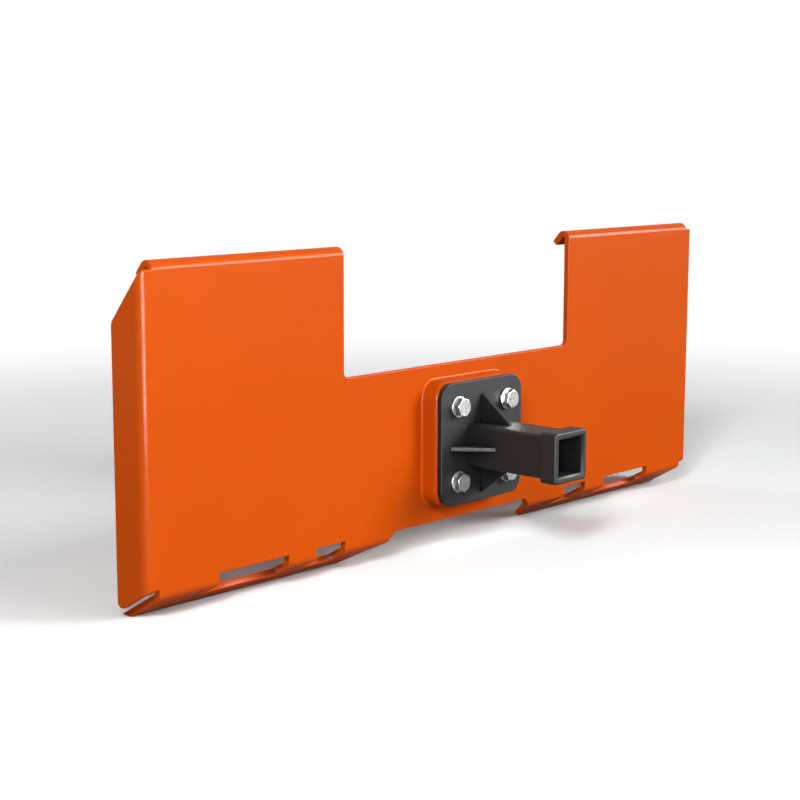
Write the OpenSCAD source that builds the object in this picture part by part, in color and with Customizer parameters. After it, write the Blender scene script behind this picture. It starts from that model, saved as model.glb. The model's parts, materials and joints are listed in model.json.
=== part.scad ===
// Quick-attach hitch plate: a folded mounting plate that a loader coupler picks up
// by its top hooks and lower slots, with a bolted-on square receiver tube.
// Lengths in millimetres. The part stands on its lower lips, mouth of the tube to the front (-Y).

/* [Mounting plate] */
// Overall width of the folded plate
plate_width = 1160; // [1130:5:1220]
// Thickness of the plate steel
sheet_t = 9.5; // [8:0.5:10]
// Inside radius of every fold
bend_in = 2.5; // [2:0.5:4]
// Height of the hook fold line above the lower edge of the middle
hook_line = 384.3; // [370:0.1:400]
// Fold angle of the top hooks
hook_fold = 140; // [125:1:145]
// Straight length of the hooks after the fold
hook_leg = 16; // [12:0.5:22]
// Distance from the side of the plate to the end of a hook
hook_inset = 18; // [14:0.5:25]
// Height of the side flange top above the hook fold line
side_top_rise = 1.7; // [0.5:0.1:3]

/* [Centre notch] */
// Clear width of the notch between the two ears
notch_width = 484.6; // [440:0.1:500]
// Height of the notch floor above the lower edge of the middle
notch_floor = 223.5; // [210:0.5:240]
// Radius in the lower corners of the notch
notch_fillet = 8; // [4:0.5:14]

/* [Side flanges] */
// Depth of the side flanges behind the front face
side_depth = 57; // [45:0.5:65]
// Height at which the top chamfer leaves the rear edge
chamfer_low = 321; // [300:1:335]
// Steepness of the top chamfer
chamfer_angle = 50; // [46:1:58]
// Steepness of the lower edge of the side flange
foot_angle = 31; // [24:1:34]
// Height of the lower edge of the side flange at the front
foot_rise = 0.5; // [0:0.1:2]
// Corner radius at the lower rear corner
foot_round = 8; // [4:0.5:12]
// Corner radius where the chamfer meets the rear edge
chamfer_round = 14; // [6:0.5:20]

/* [Lower lips] */
// Distance from the middle lower edge down to the lip fold line
lip_drop = 4; // [2:0.5:6]
// Fold angle of the lower lips
lip_fold = 60; // [55:1:65]
// Depth of the lip foot below the middle lower edge
lip_foot = 43.5; // [40:0.5:48]
// Width of the opening between the two lips
lip_gap = 285.8; // [260:0.2:300]
// Size of the slanted relief beside the opening
lip_relief = 10; // [6:0.5:12]
// Outward taper of the inner lip ends per unit of length down the lip
lip_taper = 0.78; // [0.5:0.02:0.9]
// Distance from the side of the plate to the outer lip end
lip_inset = 20; // [18:0.5:28]

/* [Lock pin slots] */
// Distance from the centre to the near end of the short slots
short_slot_at = 241.6; // [236:0.2:250]
// Length of the short slots
short_slot_length = 53.2; // [40:0.2:70]
// Distance from the centre to the near end of the long slots
long_slot_at = 345.5; // [330:0.5:360]
// Length of the long slots
long_slot_length = 118; // [90:0.5:140]
// Height of the slot tops above the middle lower edge
slot_rise = 3.4; // [2:0.1:6]
// Reach of the slots along the lip after the fold
slot_reach = 26.5; // [20:0.5:30]

/* [Spacer pad and flange plate] */
// Thickness of the welded spacer pad
pad_t = 27; // [20:0.5:30]
// Margin of the spacer pad round the flange plate
pad_margin = 1.5; // [0.5:0.1:4]
// Rounding of the front edge of the spacer pad
pad_round = 6; // [3:0.5:8]
// Leg of the seam at the foot of the spacer pad
pad_seam = 3; // [1:0.5:5]
// Width of the flange plate
flange_width = 174.8; // [165:0.2:185]
// Height of the flange plate
flange_height = 173.2; // [165:0.2:185]
// Thickness of the flange plate
flange_t = 8; // [6:0.5:12]
// Corner radius of the flange plate
flange_round = 23; // [15:0.5:28]
// Height of the flange centre above the middle lower edge
flange_at = 114.4; // [108:0.2:120]

/* [Receiver tube] */
// Outside size of the square tube
tube_size = 61; // [58:0.5:64]
// Wall of the square tube
tube_wall = 4.8; // [4:0.1:6]
// Outside corner radius of the tube
tube_round = 5; // [3:0.5:7]
// Inside corner radius of the tube
bore_round = 1.5; // [0.5:0.1:2]
// Length of the tube in front of the flange plate
tube_length = 156.5; // [120:0.5:220]
// Height of the tube centre above the middle lower edge
tube_at = 109.9; // [106:0.1:116]
// Lead-in chamfer at the mouth
mouth_lead = 2.5; // [1:0.1:3.5]
// Wall of the mouth collar
collar_wall = 4.7; // [3:0.1:7]
// Length of the mouth collar
collar_length = 25.5; // [15:0.5:35]
// Rounding of the front edge of the collar
collar_edge = 2.5; // [1:0.1:3.5]

/* [Gussets] */
// Height of the gussets along the flange plate
gusset_height = 40; // [25:0.5:42]
// Length of the gussets along the tube
gusset_length = 51; // [30:0.5:70]
// Thickness of the gussets
gusset_t = 6; // [4:0.5:8]
// Blunt width at the gusset tips
gusset_blunt = 2; // [1:0.1:4]

/* [Bolts] */
// Spacing of the square bolt pattern
bolt_spacing = 106; // [102:0.5:114]
// Shank size of the bolts
bolt_d = 16; // [12:0.5:16]
// Diametral clearance of the bolt holes
hole_clearance = 1.5; // [0.5:0.1:2.5]
// Diametral clearance between nut or washer and shank
nut_clearance = 0.2; // [0.1:0.05:0.5]
// Width across the flats of heads and nuts
hex_flats = 24; // [22:0.5:26]
// Height of the bolt heads
head_height = 10; // [7:0.5:11]
// Outside size of the flat washers
washer_d = 30; // [28:0.5:34]
// Thickness of the flat washers
washer_t = 3; // [1.5:0.1:4]
// Outside size of the spring washers
spring_d = 26.5; // [24:0.5:27.5]
// Thickness of the spring washers
spring_t = 4; // [2.5:0.1:4.5]
// Slit in the spring washers
spring_slit = 1.5; // [0.8:0.1:2.5]
// Height of the nuts
nut_height = 13; // [10:0.5:16]
// Length of shank beyond the nut
bolt_tail = 2.6; // [1:0.1:8]

/* [Hidden] */
$fn = 64;
half_w = plate_width / 2;
bend_out = bend_in + sheet_t;
side_x = half_w - bend_out;
hook_x0 = notch_width / 2;
hook_x1 = half_w - hook_inset;
lip_x0 = lip_gap / 2;
flange_lap = 3;
lip_x1 = half_w - lip_inset;
lip_line = -lip_drop;
lip_foot_z = -lip_foot;
lip_slope = 90 - lip_fold;
side_top = hook_line + side_top_rise;
foot_z = foot_rise - side_depth * tan(foot_angle);
chamfer_y = side_depth - (side_top - chamfer_low) / tan(chamfer_angle);
flange_face = pad_t + flange_t;
mouth_y = flange_face + tube_length;
lip_inner_y = bend_out - bend_in * cos(lip_fold);
lip_inner_z = lip_line - bend_in * sin(lip_fold);
lip_rear_y = lip_inner_y + (lip_inner_z - lip_foot_z) / tan(lip_slope);
lip_leg = (lip_inner_z - lip_foot_z) / sin(lip_slope) + sheet_t;
bore_size = tube_size - 2 * tube_wall;
collar_size = tube_size + 2 * collar_wall;
collar_round = tube_round + 1;
hole_d = bolt_d + hole_clearance;
nut_bore = bolt_d + nut_clearance;
bolt_seat = flange_face + washer_t;
nut_y = sheet_t + washer_t + spring_t;
bolt_end_y = nut_y + nut_height + bolt_tail;
shift_y = (mouth_y - lip_rear_y) / 2;
shift_z = lip_foot;
half_bolt = bolt_spacing / 2;
arc_overlap = 1.0002;
relief_run = 3 * bend_out;
slot_run = 4 * slot_reach;
head_bevel = hex_flats * 0.08;
head_face_r = hex_flats / 2 * 0.95;
head_rim_r = head_face_r + head_bevel * tan(60);
bolt_tip = 1.5;
washer_edge = 0.4;
slit_at = 35;
slit_tilt = 25;
paint = [0.88, 0.33, 0.06];
black = [0.2, 0.2, 0.2];
zinc = [0.8, 0.8, 0.8];

// Moves the drawing frame (front face at 0, middle lower edge at 0) on to the floor frame.
module placed() {
    translate([0, shift_y, shift_z]) children();
}

// A side-view outline (depth, height) drawn out from x0 to x1.
module along_x(x0, x1) {
    translate([x0, 0, 0]) rotate([90, 0, 90]) linear_extrude(x1 - x0) children();
}

// A front-view outline (width, height) drawn out from y0 back to y1.
module along_y(y0, y1) {
    translate([0, y1, 0]) rotate([90, 0, 0]) linear_extrude(y1 - y0) children();
}

// A plan outline (width, depth) drawn out from z0 up to z1.
module along_z(z0, z1) {
    translate([0, 0, z0]) linear_extrude(z1 - z0) children();
}

// The same shape on the right and mirrored on the left.
module both_sides() {
    children();
    mirror([1, 0, 0]) children();
}

// Section of a fold: stub of plate above the fold line (below it when up is -1), fold by an
// angle towards the back, straight leg. g grows the section on both faces.
module fold_profile(fold, leg, up, g) {
    r0 = bend_in - g;
    r1 = bend_out + g;
    spread = tan(fold / 2);
    along = [sin(fold), -cos(fold)];
    inward = [cos(fold), sin(fold)];
    outer = [bend_out - r1, -r1 * spread];
    inner = [bend_out - r0, -r0 * spread];
    tip = outer + (r1 * spread + leg) * along;
    far = 4 * (r1 * spread + leg);
    mirror([0, up < 0 ? 1 : 0]) difference() {
        polygon([outer, tip, tip + (r1 - r0 + 1) * inward, [bend_out - r0 + 1, bend_out], [outer[0], bend_out]]);
        corner_cut(outer, fold - 90, 90, r1);
        difference() {
            polygon([inner, inner + far * along, inner + far * along + [0, far], inner + [0, far]]);
            corner_cut(inner, fold - 90, 90, r0);
        }
    }
}

// Sliver that rounds an outer corner: p corner, a1 and a2 directions of its two edges.
module corner_cut(p, a1, a2, r) {
    half = abs(a2 - a1) / 2;
    mid = (a1 + a2) / 2;
    run = r / tan(half);
    reach = r / sin(half);
    c = [p[0] + reach * cos(mid), p[1] + reach * sin(mid)];
    difference() {
        polygon([
            [p[0] - cos(mid), p[1] - sin(mid)],
            [p[0] + run * cos(a1), p[1] + run * sin(a1)],
            c,
            [p[0] + run * cos(a2), p[1] + run * sin(a2)]
        ]);
        translate(c) circle(r = r * arc_overlap);
    }
}

// Rectangle with rounded corners, centred.
module round_rect(w, h, r) {
    square([w - 2 * r, h], center = true);
    square([w, h - 2 * r], center = true);
    for (sx = [-1, 1])
        for (sy = [-1, 1])
            translate([sx * (w / 2 - r), sy * (h / 2 - r)]) circle(r = r);
}

// Side view of a top hook, curling back and down.
module hook_profile() {
    translate([0, hook_line]) fold_profile(hook_fold, hook_leg, -1, 0);
}

// Side view of a lower lip, grown by g on both faces and run out for the given length.
module lip_profile(g, length) {
    translate([0, lip_line]) fold_profile(lip_fold, length, 1, g);
}

// Front view of the flat middle of the plate, right half.
module web_half() {
    difference() {
        polygon([
            [0, 0],
            [lip_x0, 0],
            [lip_x0 + lip_drop, lip_line],
            [lip_x1, lip_line],
            [lip_x1, foot_rise],
            [side_x, foot_rise],
            [side_x, side_top],
            [hook_x1, side_top],
            [hook_x1, hook_line],
            [hook_x0, hook_line],
            [hook_x0, notch_floor + notch_fillet],
            [hook_x0 - notch_fillet, notch_floor],
            [0, notch_floor]
        ]);
        translate([hook_x0 - notch_fillet, notch_floor + notch_fillet]) circle(r = notch_fillet);
    }
}

// Side flange of the right side: a fold and a leg, trimmed to its side view.
module side_flange() {
    intersection() {
        along_z(foot_z - 1, side_top + 1)
            translate([side_x, 0]) rotate(90) fold_profile(90, side_depth - bend_out, 1, 0);
        along_x(side_x - flange_lap, half_w + 1) side_view();
    }
}

// Side view that trims the side flange.
module side_view() {
    difference() {
        polygon([
            [-1, foot_rise],
            [0, foot_rise],
            [side_depth, foot_z],
            [side_depth, chamfer_low],
            [chamfer_y, side_top],
            [-1, side_top]
        ]);
        corner_cut([side_depth, foot_z], 90, 180 - foot_angle, foot_round);
        corner_cut([side_depth, chamfer_low], 180 - chamfer_angle, 270, chamfer_round);
    }
}

// Lower lip of the right side, its foot cut level.
module lip_blank() {
    along_x(lip_x0, lip_x1) difference() {
        lip_profile(0, lip_leg);
        translate([0, lip_foot_z - lip_leg]) square([2 * lip_leg, lip_leg]);
    }
}

// Lip of the right side, its inner end cut to the slanted relief and to the taper of the leg.
module lip() {
    reach = lip_x0 + lip_relief;
    difference() {
        lip_blank();
        along_y(-1, lip_rear_y + 1) polygon([
            [reach - relief_run, relief_run - lip_relief],
            [reach, -lip_relief],
            [reach, lip_foot_z - 1],
            [reach - relief_run, lip_foot_z - 1]
        ]);
        translate([0, bend_out, lip_line]) rotate([-lip_slope, 0, 0]) along_z(-bend_out - 1, 0) polygon([
            [lip_x0 - 1, 0],
            [reach, 0],
            [reach + lip_taper * (lip_leg + 1), lip_leg + 1],
            [lip_x0 - 1, lip_leg + 1]
        ]);
    }
}

// Slot through web, fold and lip, between two distances from the centre.
module slot(x0, x1) {
    along_x(x0, x1) intersection() {
        lip_profile(1, slot_reach);
        translate([-sheet_t, slot_rise - slot_run]) square([sheet_t + slot_run, slot_run]);
    }
}

// Four holes on the bolt pattern through depths y0 to y1.
module bolt_holes(y0, y1) {
    for (sx = [-1, 1])
        for (sz = [-1, 1])
            translate([sx * half_bolt, y1, flange_at + sz * half_bolt])
                rotate([90, 0, 0]) cylinder(h = y1 - y0, d = hole_d);
}

module mount_plate() {
    color(paint) placed() difference() {
        both_sides() {
            along_y(0, sheet_t) web_half();
            along_x(hook_x0, hook_x1) hook_profile();
            side_flange();
            lip();
        }
        both_sides() {
            slot(short_slot_at, short_slot_at + short_slot_length);
            slot(long_slot_at, long_slot_at + long_slot_length);
        }
        bolt_holes(-1, sheet_t + 1);
    }
}

// Edge profile of a block with rounded front edge: x outward from the inset core, y forward.
module soft_edge(r, depth) {
    intersection() {
        union() {
            translate([0, depth - r]) circle(r = r);
            square([r, depth - r]);
        }
        square([r, depth]);
    }
}

// Block of depth along -Y, w by h with corner radius rc, its front edge rounded by rf.
module soft_block(w, h, rc, depth, rf) {
    rotate([90, 0, 0]) {
        linear_extrude(depth) round_rect(w - 2 * rf, h - 2 * rf, rc - rf);
        for (sx = [-1, 1]) {
            translate([sx * (w / 2 - rf), h / 2 - rc, 0]) rotate([90, 0, 0])
                linear_extrude(h - 2 * rc) mirror([sx < 0 ? 1 : 0, 0]) soft_edge(rf, depth);
            translate([-w / 2 + rc, sx * (h / 2 - rf), 0]) rotate([90, 0, 90])
                linear_extrude(w - 2 * rc) mirror([sx < 0 ? 1 : 0, 0]) soft_edge(rf, depth);
        }
        for (q = [0 : 3])
            translate([(q == 0 || q == 3 ? 1 : -1) * (w / 2 - rc), (q < 2 ? 1 : -1) * (h / 2 - rc), 0])
                rotate(90 * q) rotate_extrude(angle = 90) translate([rc - rf, 0]) soft_edge(rf, depth);
    }
}

// Seam band round the foot of the pad.
module pad_foot(w, h, rc) {
    rotate([90, 0, 0]) {
        for (sx = [-1, 1]) {
            translate([sx * w / 2, h / 2 - rc, 0]) rotate([90, 0, 0])
                linear_extrude(h - 2 * rc) mirror([sx < 0 ? 1 : 0, 0]) seam_edge();
            translate([-w / 2 + rc, sx * h / 2, 0]) rotate([90, 0, 90])
                linear_extrude(w - 2 * rc) mirror([sx < 0 ? 1 : 0, 0]) seam_edge();
        }
        for (q = [0 : 3])
            translate([(q == 0 || q == 3 ? 1 : -1) * (w / 2 - rc), (q < 2 ? 1 : -1) * (h / 2 - rc), 0])
                rotate(90 * q) rotate_extrude(angle = 90) translate([rc, 0]) seam_edge();
    }
}

// Hollow fillet of the seam, outward from the pad side.
module seam_edge() {
    difference() {
        translate([-1, 0]) square([pad_seam + 1, pad_seam]);
        translate([pad_seam, pad_seam]) circle(r = pad_seam);
    }
}

module spacer_pad() {
    w = flange_width + 2 * pad_margin;
    h = flange_height + 2 * pad_margin;
    rc = flange_round + pad_margin;
    color(paint) placed() difference() {
        translate([0, 0, flange_at]) {
            soft_block(w, h, rc, pad_t, pad_round);
            pad_foot(w, h, rc);
        }
        bolt_holes(-pad_t - 1, 1);
    }
}

module flange_plate() {
    color(black) placed() difference() {
        translate([0, 0, flange_at]) along_y(-flange_face, -pad_t)
            round_rect(flange_width, flange_height, flange_round);
        bolt_holes(-flange_face - 1, -pad_t + 1);
    }
}

module receiver_tube() {
    color(black) placed() translate([0, 0, tube_at]) difference() {
        along_y(-mouth_y, -flange_face) round_rect(tube_size, tube_size, tube_round);
        along_y(-mouth_y - 1, -flange_face + 1) round_rect(bore_size, bore_size, bore_round);
        intersection() {
            along_x(-tube_size, tube_size) lead_view();
            rotate([0, 90, 0]) along_x(-tube_size, tube_size) lead_view();
        }
    }
}

// Side view of the widening at the mouth.
module lead_view() {
    polygon([
        [-mouth_y - 1, bore_size / 2 + mouth_lead + 1],
        [-mouth_y + mouth_lead, bore_size / 2],
        [-mouth_y + mouth_lead, -bore_size / 2],
        [-mouth_y - 1, -bore_size / 2 - mouth_lead - 1]
    ]);
}

module receiver_collar() {
    color(black) placed() translate([0, 0, tube_at]) difference() {
        translate([0, collar_length - mouth_y, 0])
            soft_block(collar_size, collar_size, collar_round, collar_length, collar_edge);
        along_y(-mouth_y - 1, collar_length - mouth_y + 1) round_rect(tube_size, tube_size, tube_round);
    }
}

// One gusset standing on top of the tube.
module gusset() {
    base = tube_size / 2;
    along_x(-gusset_t / 2, gusset_t / 2) polygon([
        [-flange_face, base],
        [-flange_face, base + gusset_height],
        [-flange_face - gusset_blunt, base + gusset_height],
        [-flange_face - gusset_length, base + gusset_blunt],
        [-flange_face - gusset_length, base]
    ]);
}

// A gusset turned round the tube axis.
module gusset_at(angle) {
    color(black) placed() translate([0, 0, tube_at]) rotate([0, angle, 0]) gusset();
}

module gusset_top() {
    gusset_at(0);
}

module gusset_bottom() {
    gusset_at(180);
}

module gusset_left() {
    gusset_at(-90);
}

module gusset_right() {
    gusset_at(90);
}

// Frame of one bolt: side and level are -1 or 1, its axis along +Y.
module at_bolt(side, level, y) {
    placed() translate([side * half_bolt, y, flange_at + level * half_bolt]) rotate([-90, 0, 0]) children();
}

// Hexagonal block along +Z, bevelled at its outer end (z = 0 side when flip is false).
module hex_block(height, flip) {
    across = hex_flats / cos(30);
    intersection() {
        cylinder(h = height, d = across, $fn = 6);
        union() {
            cylinder(h = head_bevel, r1 = head_face_r, r2 = head_rim_r);
            translate([0, 0, head_bevel]) cylinder(h = height - (flip ? 2 : 1) * head_bevel, r = across);
            if (flip)
                translate([0, 0, height - head_bevel]) cylinder(h = head_bevel, r1 = head_rim_r, r2 = head_face_r);
        }
    }
}

module bolt(side, level, turn) {
    length = bolt_seat + bolt_end_y;
    color(zinc) at_bolt(side, level, -bolt_seat) {
        translate([0, 0, -head_height]) rotate(turn) hex_block(head_height, false);
        translate([0, 0, -head_height / 2]) cylinder(h = length - bolt_tip + head_height / 2, d = bolt_d);
        translate([0, 0, length - bolt_tip]) cylinder(h = bolt_tip, d1 = bolt_d, d2 = bolt_d - 2 * bolt_tip);
    }
}

module washer(side, level, y) {
    face_d = washer_d - 2 * washer_edge;
    color(zinc) at_bolt(side, level, y) difference() {
        union() {
            cylinder(h = washer_edge, d1 = face_d, d2 = washer_d);
            translate([0, 0, washer_edge]) cylinder(h = washer_t - 2 * washer_edge, d = washer_d);
            translate([0, 0, washer_t - washer_edge]) cylinder(h = washer_edge, d1 = washer_d, d2 = face_d);
        }
        translate([0, 0, -1]) cylinder(h = washer_t + 2, d = nut_bore);
    }
}

module spring_washer(side, level) {
    color(zinc) at_bolt(side, level, sheet_t + washer_t) difference() {
        cylinder(h = spring_t, d = spring_d);
        translate([0, 0, -1]) cylinder(h = spring_t + 2, d = nut_bore);
        translate([0, 0, spring_t / 2]) rotate([0, 0, slit_at]) rotate([slit_tilt, 0, 0])
            translate([0, -spring_slit / 2, -spring_t]) cube([spring_d, spring_slit, 2 * spring_t]);
    }
}

module nut(side, level, turn) {
    color(zinc) at_bolt(side, level, nut_y) difference() {
        rotate(turn) hex_block(nut_height, true);
        translate([0, 0, -1]) cylinder(h = nut_height + 2, d = nut_bore);
    }
}

module bolt_upper_left() {
    bolt(-1, 1, 12);
}

module bolt_upper_right() {
    bolt(1, 1, 40);
}

module bolt_lower_left() {
    bolt(-1, -1, 24);
}

module bolt_lower_right() {
    bolt(1, -1, 3);
}

module front_washer_upper_left() {
    washer(-1, 1, -bolt_seat);
}

module front_washer_upper_right() {
    washer(1, 1, -bolt_seat);
}

module front_washer_lower_left() {
    washer(-1, -1, -bolt_seat);
}

module front_washer_lower_right() {
    washer(1, -1, -bolt_seat);
}

module rear_washer_upper_left() {
    washer(-1, 1, sheet_t);
}

module rear_washer_upper_right() {
    washer(1, 1, sheet_t);
}

module rear_washer_lower_left() {
    washer(-1, -1, sheet_t);
}

module rear_washer_lower_right() {
    washer(1, -1, sheet_t);
}

module spring_washer_upper_left() {
    spring_washer(-1, 1);
}

module spring_washer_upper_right() {
    spring_washer(1, 1);
}

module spring_washer_lower_left() {
    spring_washer(-1, -1);
}

module spring_washer_lower_right() {
    spring_washer(1, -1);
}

module nut_upper_left() {
    nut(-1, 1, 8);
}

module nut_upper_right() {
    nut(1, 1, 31);
}

module nut_lower_left() {
    nut(-1, -1, 50);
}

module nut_lower_right() {
    nut(1, -1, 19);
}

mount_plate();
spacer_pad();
flange_plate();
receiver_tube();
receiver_collar();
gusset_top();
gusset_bottom();
gusset_left();
gusset_right();
bolt_upper_left();
bolt_upper_right();
bolt_lower_left();
bolt_lower_right();
front_washer_upper_left();
front_washer_upper_right();
front_washer_lower_left();
front_washer_lower_right();
rear_washer_upper_left();
rear_washer_upper_right();
rear_washer_lower_left();
rear_washer_lower_right();
spring_washer_upper_left();
spring_washer_upper_right();
spring_washer_lower_left();
spring_washer_lower_right();
nut_upper_left();
nut_upper_right();
nut_lower_left();
nut_lower_right();
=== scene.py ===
"""Looks of the receiver hitch plate round its CAD frame: finishes, soft edges, studio, camera.

All lengths are in metres, in the row frame: +X along the plate, +Y to its back, +Z up, floor at 0.
"""

import json
import math

import bmesh
import bpy
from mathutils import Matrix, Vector

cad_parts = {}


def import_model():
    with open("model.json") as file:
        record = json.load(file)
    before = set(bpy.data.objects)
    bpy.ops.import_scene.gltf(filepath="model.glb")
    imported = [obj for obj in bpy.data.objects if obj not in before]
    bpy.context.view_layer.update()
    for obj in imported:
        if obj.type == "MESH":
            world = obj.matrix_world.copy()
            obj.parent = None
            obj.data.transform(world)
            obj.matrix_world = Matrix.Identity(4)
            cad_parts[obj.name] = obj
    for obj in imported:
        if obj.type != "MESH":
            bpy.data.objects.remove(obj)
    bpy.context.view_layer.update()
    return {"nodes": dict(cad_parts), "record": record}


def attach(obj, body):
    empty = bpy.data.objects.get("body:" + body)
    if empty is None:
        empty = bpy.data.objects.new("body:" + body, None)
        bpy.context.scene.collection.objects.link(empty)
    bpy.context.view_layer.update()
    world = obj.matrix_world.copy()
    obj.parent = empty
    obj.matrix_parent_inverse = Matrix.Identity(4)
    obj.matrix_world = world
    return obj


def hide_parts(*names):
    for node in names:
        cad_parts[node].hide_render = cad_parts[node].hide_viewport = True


MM = 0.001
WHITE = (1.0, 1.0, 1.0)

# Vertices closer than this are one, so that no sliver is left to soften
MERGE = 0.002 * MM
MERGE_PLATE = 0.5 * MM
# Faces that meet at less than this are one flat face
FLAT = math.radians(1.5)
# Faces that meet outward at more than this make an edge that is softened
SHARP = math.radians(32)
# Steps round a softened edge, and how strongly large faces keep their own direction
ROUND_STEPS = 3
FACE_WEIGHT = 80
# Radius of the softened edges of each kind of piece
EDGE = {
    "mount_plate": 1.6 * MM,
    "spacer_pad": 0.4 * MM,
    "flange_plate": 1.2 * MM,
    "receiver_tube": 0.25 * MM,
    "receiver_collar": 0.6 * MM,
    "gusset": 0.9 * MM,
    "bolt": 0.3 * MM,
    "washer": 0.25 * MM,
    "nut": 0.3 * MM,
}

# Paint: two tones that drift into each other, the paler tone on the edges, and how far an edge
# reaches; the paler orange edge tone is partly a thin coat and partly a painted highlight
ORANGE_TONES = (0.82, 0.109, 0.003), (0.78, 0.099, 0.003)
ORANGE_EDGE_THIN_COAT_AND_HIGHLIGHT = (0.90, 0.19, 0.015)
ORANGE_EDGE_REACH = 1.6 * MM
BLACK_TONES = (0.025, 0.025, 0.025), (0.019, 0.019, 0.019)
# The paler black edge tone is a painted highlight
BLACK_EDGE_HIGHLIGHT = (0.090, 0.090, 0.090)
BLACK_EDGE_REACH = 1.0 * MM
ZINC_TONES = (0.42, 0.42, 0.41), (0.36, 0.36, 0.35)
# Likeness of the rounded to the real direction of a face, on an edge and clear of it
EDGE_SPAN = (0.80, 0.995)
EDGE_SAMPLES = 6
# Usual span of a noise value
NOISE_SPAN = (0.3, 0.7)
# Painted shade on the black coat in corners and in the bore: how far it looks for neighbours that
# close a spot in, how open a spot is
# # where the painted shade is darkest and where there is none, and the share of its tone in the
# darkest one
PAINTED_SHADE_REACH = 90 * MM
PAINTED_SHADE_SPAN = (0.25, 0.95)
PAINTED_SHADE_SHARE = 0.06
PAINTED_SHADE_SAMPLES = 8

# Strength of the surroundings as a light
WORLD_LIGHT = 0.02

FLOOR_SIZE = 14.0
# The floor is lit and shaded out to the first distance, and plain white from the second on
FLOOR_NEAR = 1.1
FLOOR_FAR = 2.6
# Colour of the floor as it lights the object, and the stronger one as it is seen
FLOOR_COLOUR = (0.70, 0.70, 0.70)
FLOOR_SEEN = (1.68, 1.70, 1.70)
# Reach of the floor's look for neighbours
CONTACT_REACH = 1.0
CONTACT_SAMPLES = 12
# Tone that takes the plate's glow off the floor in front of it, from what openness, and how far
# back that ends
GLOW_TONE = (0.94, 0.99, 1.0)
GLOW_SPAN = (0.7, 1.0)
GLOW_END = (0.04, 0.12)
# Painted contact shadow: tone right where something touches the floor, and from what openness
CONTACT_SHADOW_TONE = (0.45, 0.45, 0.45)
CONTACT_SHADOW_SPAN = (0.02, 0.15)
# Tone of the deep shade close behind the plate, from what openness, and how far back it starts
DEEP_TONE = (0.66, 0.73, 0.74)
DEEP_SPAN = (0.55, 0.82)
DEEP_START = (0.09, 0.13)

# Lamps: where each stands, what it faces, its width, its height and its watts
MIDDLE = (0.0, 0.0, 0.2)
LAMPS = {
    "left_key": ((-3.00, -1.73, 2.20), MIDDLE, 0.8, 0.8, 79),
    "back_box": ((0.0, 2.83, 3.03), MIDDLE, 1.5, 1.5, 13),
    "right_box": ((1.85, -3.21, 1.70), MIDDLE, 1.5, 1.5, 124),
    "front_box": ((0.0, -3.71, 1.70), MIDDLE, 1.5, 1.5, 42),
    "left_shine": ((-1.20, -1.10, 0.35), (-0.575, 0.0, 0.25), 0.8, 0.9, 160),
    "right_shine": ((1.6, -1.5, 1.0), (0.0, 0.0, 0.38), 1.8, 0.8, 170),
    "back_fill": ((0.9, 3.6, 0.9), MIDDLE, 2.0, 1.4, 90),
}
# Lamps whose light matt surfaces don't pass on, and those that only shine in the folds
DIRECT = ("right_box", "front_box", "left_shine", "right_shine", "back_fill")
SHINES = ("left_shine", "right_shine")

# Camera that took the photograph's view
CAMERA_AT = (-1.8189, -1.4872, 0.5901)
CAMERA_TURN = (80.95, -0.11, -47.45)
CAMERA_LENS = 76.31
SENSOR = 36.0


def material(name):
    """A new material with an empty node tree, and its output."""
    mat = bpy.data.materials.new(name)
    mat.use_nodes = True
    tree = mat.node_tree
    tree.nodes.clear()
    return mat, tree, tree.nodes.new("ShaderNodeOutputMaterial")


def coat(name):
    """A new material with its main shader."""
    mat, tree, out = material(name)
    shader = tree.nodes.new("ShaderNodeBsdfPrincipled")
    tree.links.new(shader.outputs["BSDF"], out.inputs["Surface"])
    return mat, tree, shader


def noise(tree, scale, detail=3.0, roughness=0.5, stretch=(1.0, 1.0, 1.0)):
    """Noise over the object's own coordinates, scale in waves per metre."""
    coords = tree.nodes.new("ShaderNodeTexCoord")
    mapping = tree.nodes.new("ShaderNodeMapping")
    mapping.inputs["Scale"].default_value = stretch
    tex = tree.nodes.new("ShaderNodeTexNoise")
    tex.inputs["Scale"].default_value = scale
    tex.inputs["Detail"].default_value = detail
    tex.inputs["Roughness"].default_value = roughness
    tree.links.new(coords.outputs["Object"], mapping.inputs["Vector"])
    tree.links.new(mapping.outputs["Vector"], tex.inputs["Vector"])
    return tex.outputs["Fac"]


def spread(tree, value, low, high, span=NOISE_SPAN):
    """Maps a value on to low at the start of its span, to high at the end of it."""
    node = tree.nodes.new("ShaderNodeMapRange")
    node.inputs["From Min"].default_value = span[0]
    node.inputs["From Max"].default_value = span[1]
    node.inputs["To Min"].default_value = low
    node.inputs["To Max"].default_value = high
    tree.links.new(value, node.inputs["Value"])
    return node.outputs["Result"]


def number(tree, operation, first, second):
    """Result of an operation on two numbers."""
    node = tree.nodes.new("ShaderNodeMath")
    node.operation = operation
    tree.links.new(first, node.inputs[0])
    tree.links.new(second, node.inputs[1])
    return node.outputs["Value"]


def times(tree, first, second):
    """Two colours multiplied."""
    node = tree.nodes.new("ShaderNodeVectorMath")
    node.operation = "MULTIPLY"
    tree.links.new(first, node.inputs[0])
    tree.links.new(second, node.inputs[1])
    return node.outputs["Vector"]


def blend_colours(tree, factor, first, second):
    """Colour that goes from first to second as factor goes from 0 to 1. First may be a socket."""
    node = tree.nodes.new("ShaderNodeMix")
    node.data_type = "RGBA"
    if isinstance(first, tuple):
        node.inputs["A"].default_value = (*first, 1.0)
    else:
        tree.links.new(first, node.inputs["A"])
    node.inputs["B"].default_value = (*second, 1.0)
    tree.links.new(factor, node.inputs["Factor"])
    return node.outputs["Result"]


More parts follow.
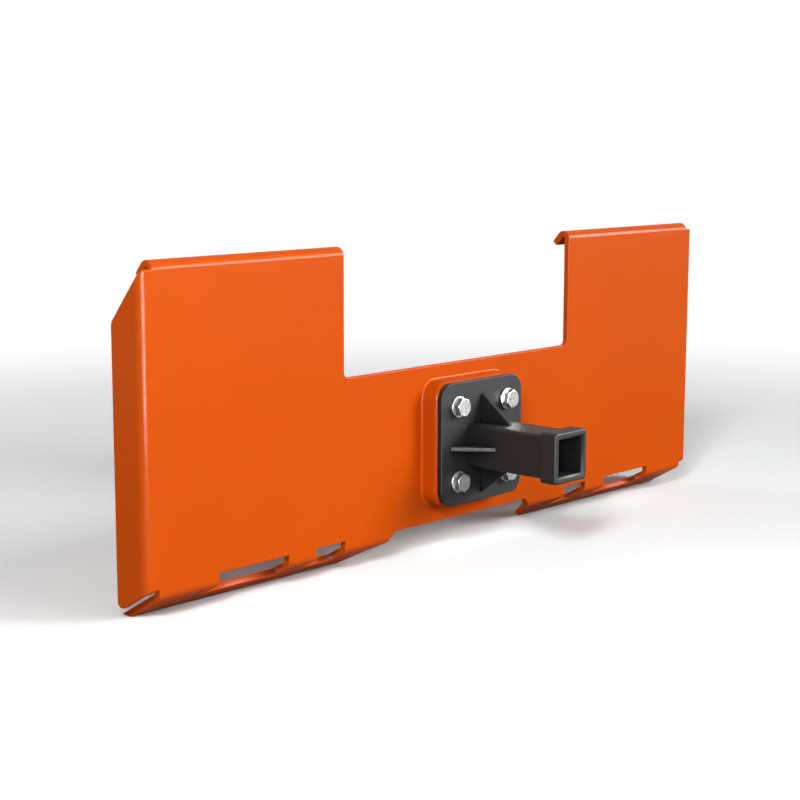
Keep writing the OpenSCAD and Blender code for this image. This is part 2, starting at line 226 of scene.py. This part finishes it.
def edge_mask(tree, radius):
    """1 on the outer and inner edges within radius, 0 on open surfaces."""
    bevel = tree.nodes.new("ShaderNodeBevel")
    bevel.samples = EDGE_SAMPLES
    bevel.inputs["Radius"].default_value = radius
    geometry = tree.nodes.new("ShaderNodeNewGeometry")
    dot = tree.nodes.new("ShaderNodeVectorMath")
    dot.operation = "DOT_PRODUCT"
    tree.links.new(bevel.outputs["Normal"], dot.inputs[0])
    tree.links.new(geometry.outputs["Normal"], dot.inputs[1])
    return spread(tree, dot.outputs["Value"], 1.0, 0.0, EDGE_SPAN)


def openness(tree, reach, samples):
    """1 where nothing stands within reach, less where neighbours close a spot in."""
    node = tree.nodes.new("ShaderNodeAmbientOcclusion")
    node.samples = samples
    node.inputs["Distance"].default_value = reach
    return node.outputs["AO"]


def bump(tree, height, strength, distance, normal=None):
    """Bump from a height value, on top of another normal where one is given."""
    node = tree.nodes.new("ShaderNodeBump")
    node.inputs["Strength"].default_value = strength
    node.inputs["Distance"].default_value = distance
    tree.links.new(height, node.inputs["Height"])
    if normal:
        tree.links.new(normal, node.inputs["Normal"])
    return node.outputs["Normal"]


def orange_powder():
    """Glossy orange powder coat: orange peel, slow drift of tone, and a paler tone on the edges
    that is partly a thin coat and partly a painted highlight.
    """
    mat, tree, shader = coat("orange_powder")
    drift = spread(tree, noise(tree, 5.0, 2.0), 0.0, 1.0)
    body = blend_colours(tree, drift, *ORANGE_TONES)
    # Paler tone on the edges: partly a thin coat, partly a painted highlight
    paint = blend_colours(tree, edge_mask(tree, ORANGE_EDGE_REACH), body, ORANGE_EDGE_THIN_COAT_AND_HIGHLIGHT)
    tree.links.new(paint, shader.inputs["Base Color"])
    gloss = spread(tree, noise(tree, 40.0, 4.0), 0.30, 0.38)
    tree.links.new(gloss, shader.inputs["Roughness"])
    peel = bump(tree, noise(tree, 420.0, 2.0), 0.10, 0.25 * MM)
    wave = bump(tree, noise(tree, 9.0, 1.0), 0.10, 2.0 * MM, peel)
    tree.links.new(wave, shader.inputs["Normal"])
    tree.links.new(peel, shader.inputs["Coat Normal"])
    shader.inputs["Coat Weight"].default_value = 0.07
    shader.inputs["Coat Roughness"].default_value = 0.14
    shader.inputs["Specular IOR Level"].default_value = 0.02
    return mat


def black_powder():
    """Satin black powder coat with a fine grain, a painted highlight on the edges, and painted
    shade in corners and in the bore.
    """
    mat, tree, shader = coat("black_powder")
    drift = spread(tree, noise(tree, 18.0, 4.0), 0.0, 1.0)
    body = blend_colours(tree, drift, *BLACK_TONES)
    # Paler tone on the edges: a painted highlight
    paint = blend_colours(tree, edge_mask(tree, BLACK_EDGE_REACH), body, BLACK_EDGE_HIGHLIGHT)
    # Painted shade: the tone is darkened in corners and in the bore, where neighbours close a spot
    # in
    painted_shade = openness(tree, PAINTED_SHADE_REACH, PAINTED_SHADE_SAMPLES)
    shade = tree.nodes.new("ShaderNodeVectorMath")
    shade.operation = "SCALE"
    tree.links.new(paint, shade.inputs[0])
    tree.links.new(spread(tree, painted_shade, PAINTED_SHADE_SHARE, 1.0, PAINTED_SHADE_SPAN), shade.inputs["Scale"])
    tree.links.new(shade.outputs["Vector"], shader.inputs["Base Color"])
    gloss = spread(tree, noise(tree, 160.0, 3.0), 0.42, 0.56)
    tree.links.new(gloss, shader.inputs["Roughness"])
    grain = bump(tree, noise(tree, 900.0, 3.0, 0.6), 0.35, 0.25 * MM)
    lumps = bump(tree, noise(tree, 120.0, 2.0), 0.15, 0.4 * MM, grain)
    tree.links.new(lumps, shader.inputs["Normal"])
    shader.inputs["Specular IOR Level"].default_value = 0.16
    return mat


def zinc_plate():
    """Bright zinc plating: slightly uneven grey with a faint straw tint and fine tool marks."""
    mat, tree, shader = coat("zinc_plate")
    cloud = spread(tree, noise(tree, 90.0, 5.0), 0.0, 1.0)
    tree.links.new(blend_colours(tree, cloud, *ZINC_TONES), shader.inputs["Base Color"])
    gloss = spread(tree, noise(tree, 300.0, 4.0), 0.24, 0.40)
    tree.links.new(gloss, shader.inputs["Roughness"])
    marks = bump(tree, noise(tree, 700.0, 2.0, 0.5, (1.0, 0.15, 1.0)), 0.20, 0.10 * MM)
    tree.links.new(marks, shader.inputs["Normal"])
    shader.inputs["Metallic"].default_value = 1.0
    return mat


def kind_of(node):
    """The entry of EDGE that a node's name falls under."""
    return next(kind for kind in EDGE if kind in node)


def soften(node, source, finish):
    """A copy of a CAD node with softened edges and smooth rounds, shown in its place."""
    mesh = source.data.copy()
    mesh.materials.clear()
    mesh.materials.append(finish)
    shape = bmesh.new()
    shape.from_mesh(mesh)
    near = MERGE_PLATE if node == "mount_plate" else MERGE
    bmesh.ops.remove_doubles(shape, verts=shape.verts, dist=near)
    bmesh.ops.dissolve_limit(shape, angle_limit=FLAT, verts=shape.verts, edges=shape.edges)
    for face in shape.faces:
        face.smooth = True
        face.material_index = 0
    weight = shape.edges.layers.float.new("bevel_weight_edge")
    for edge in shape.edges:
        edge[weight] = float(edge.is_convex and edge.calc_face_angle(0.0) > SHARP)
    shape.to_mesh(mesh)
    shape.free()
    piece = bpy.data.objects.new(node + "_skin", mesh)
    bpy.context.scene.collection.objects.link(piece)
    round_edges = piece.modifiers.new("round_edges", "BEVEL")
    round_edges.width = EDGE[kind_of(node)]
    round_edges.segments = ROUND_STEPS
    round_edges.limit_method = "WEIGHT"
    round_edges.use_clamp_overlap = False
    even = piece.modifiers.new("even_normals", "WEIGHTED_NORMAL")
    even.mode = "FACE_AREA"
    even.weight = FACE_WEIGHT
    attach(piece, "root")
    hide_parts(node)
    return piece


def seen_rays(tree):
    """1 for camera rays and for what mirrors and clear things show, 0 for rays that light."""
    path = tree.nodes.new("ShaderNodeLightPath").outputs
    mirrored = number(tree, "MAXIMUM", path["Is Camera Ray"], path["Is Glossy Ray"])
    return number(tree, "MAXIMUM", mirrored, path["Is Transmission Ray"])


def floor_tone(tree, place):
    """Colour of the floor: tones for glow, a painted contact shadow and deep shade on what a ray is
    to see.
    """
    open_share = openness(tree, CONTACT_REACH, CONTACT_SAMPLES)
    split = tree.nodes.new("ShaderNodeSeparateXYZ")
    tree.links.new(place, split.inputs["Vector"])
    back = split.outputs["Y"]
    front = number(
        tree, "MULTIPLY",
        spread(tree, open_share, 1.0, 0.0, GLOW_SPAN), spread(tree, back, 1.0, 0.0, GLOW_END))
    behind = number(
        tree, "MULTIPLY",
        spread(tree, open_share, 1.0, 0.0, DEEP_SPAN), spread(tree, back, 0.0, 1.0, DEEP_START))
    # Painted contact shadow right where something touches the floor
    painted_contact_shadow = spread(tree, open_share, 1.0, 0.0, CONTACT_SHADOW_SPAN)
    path = tree.nodes.new("ShaderNodeLightPath")
    shown = blend_colours(tree, path.outputs["Is Camera Ray"], FLOOR_COLOUR, FLOOR_SEEN)
    for share, tone in ((front, GLOW_TONE), (painted_contact_shadow, CONTACT_SHADOW_TONE), (behind, DEEP_TONE)):
        shown = times(tree, shown, blend_colours(tree, share, WHITE, tone))
    return shown


def floor():
    """Pale floor that keeps the object's shadow and fades to plain white further out."""
    mat, tree, out = material("studio_floor")
    place = tree.nodes.new("ShaderNodeTexCoord").outputs["Object"]
    matt = tree.nodes.new("ShaderNodeBsdfDiffuse")
    tree.links.new(floor_tone(tree, place), matt.inputs["Color"])
    white = tree.nodes.new("ShaderNodeEmission")
    white.inputs["Strength"].default_value = 1.0
    distance = tree.nodes.new("ShaderNodeVectorMath")
    distance.operation = "LENGTH"
    tree.links.new(place, distance.inputs[0])
    far = tree.nodes.new("ShaderNodeMapRange")
    far.interpolation_type = "SMOOTHSTEP"
    far.inputs["From Min"].default_value = FLOOR_NEAR
    far.inputs["From Max"].default_value = FLOOR_FAR
    tree.links.new(distance.outputs["Value"], far.inputs["Value"])
    share = number(tree, "MULTIPLY", far.outputs["Result"], seen_rays(tree))
    fade = tree.nodes.new("ShaderNodeMixShader")
    tree.links.new(share, fade.inputs["Fac"])
    tree.links.new(matt.outputs["BSDF"], fade.inputs[1])
    tree.links.new(white.outputs["Emission"], fade.inputs[2])
    tree.links.new(fade.outputs["Shader"], out.inputs["Surface"])
    bpy.ops.mesh.primitive_plane_add(size=FLOOR_SIZE)
    plane = bpy.context.object
    plane.name = "studio_floor"
    plane.data.materials.append(mat)


def world():
    """White surroundings to the camera and to reflections, softer as a light."""
    surroundings = bpy.data.worlds.new("studio")
    surroundings.use_nodes = True
    tree = surroundings.node_tree
    tree.nodes.clear()
    out = tree.nodes.new("ShaderNodeOutputWorld")
    light = tree.nodes.new("ShaderNodeBackground")
    level = tree.nodes.new("ShaderNodeMapRange")
    level.inputs["To Min"].default_value = WORLD_LIGHT
    level.inputs["To Max"].default_value = 1.0
    tree.links.new(seen_rays(tree), level.inputs["Value"])
    light.inputs["Color"].default_value = (*WHITE, 1.0)
    tree.links.new(level.outputs["Result"], light.inputs["Strength"])
    tree.links.new(light.outputs["Background"], out.inputs["Surface"])
    bpy.context.scene.world = surroundings


def softbox(name, place, target, width, height, watts):
    """A rectangular soft light at place that faces target."""
    lamp = bpy.data.lights.new(name, "AREA")
    lamp.shape = "RECTANGLE"
    lamp.size = width
    lamp.size_y = height
    lamp.energy = watts
    obj = bpy.data.objects.new(name, lamp)
    bpy.context.scene.collection.objects.link(obj)
    obj.location = place
    obj.rotation_euler = (Vector(target) - Vector(place)).to_track_quat("-Z", "Y").to_euler()
    return obj


def no_bounce(lamp):
    """Keeps a lamp's light from being passed on by matt surfaces, so that it tints nothing else."""
    lamp.data.use_nodes = True
    tree = lamp.data.node_tree
    path = tree.nodes.new("ShaderNodeLightPath")
    first = tree.nodes.new("ShaderNodeMath")
    first.operation = "SUBTRACT"
    first.use_clamp = True
    first.inputs[0].default_value = 1.0
    tree.links.new(path.outputs["Diffuse Depth"], first.inputs[1])
    tree.links.new(first.outputs["Value"], tree.nodes["Emission"].inputs["Strength"])


def lights(pieces):
    """A key from the left, boxes from right, front and back, boxes that only shine in the folds,
    and a fill that shows the back of the pieces alone."""
    lamps = {name: softbox(name, *setup) for name, setup in LAMPS.items()}
    for name in DIRECT:
        no_bounce(lamps[name])
    for name in SHINES:
        lamps[name].visible_diffuse = False
        lamps[name].visible_camera = False
    shown = bpy.data.collections.new("lit_from_behind")
    for piece in pieces:
        shown.objects.link(piece)
    lamps["back_fill"].light_linking.receiver_collection = shown


def camera():
    """The photograph's camera."""
    data = bpy.data.cameras.new("photo_camera")
    data.lens = CAMERA_LENS
    data.sensor_width = SENSOR
    data.dof.use_dof = False
    obj = bpy.data.objects.new("photo_camera", data)
    bpy.context.scene.collection.objects.link(obj)
    obj.location = CAMERA_AT
    obj.rotation_euler = [math.radians(a) for a in CAMERA_TURN]
    bpy.context.scene.camera = obj


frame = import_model()
finishes = {
    "orange_powder": orange_powder(),
    "black_powder": black_powder(),
    "zinc_plate": zinc_plate(),
}
skins = []
for entry in frame["record"]["subparts"]:
    name, slot = entry["node"], entry["material_slot"]
    skins.append(soften(name, frame["nodes"][name], finishes[slot]))
floor()
world()
lights(skins)
camera()
bpy.context.scene.view_settings.view_transform = "Standard"
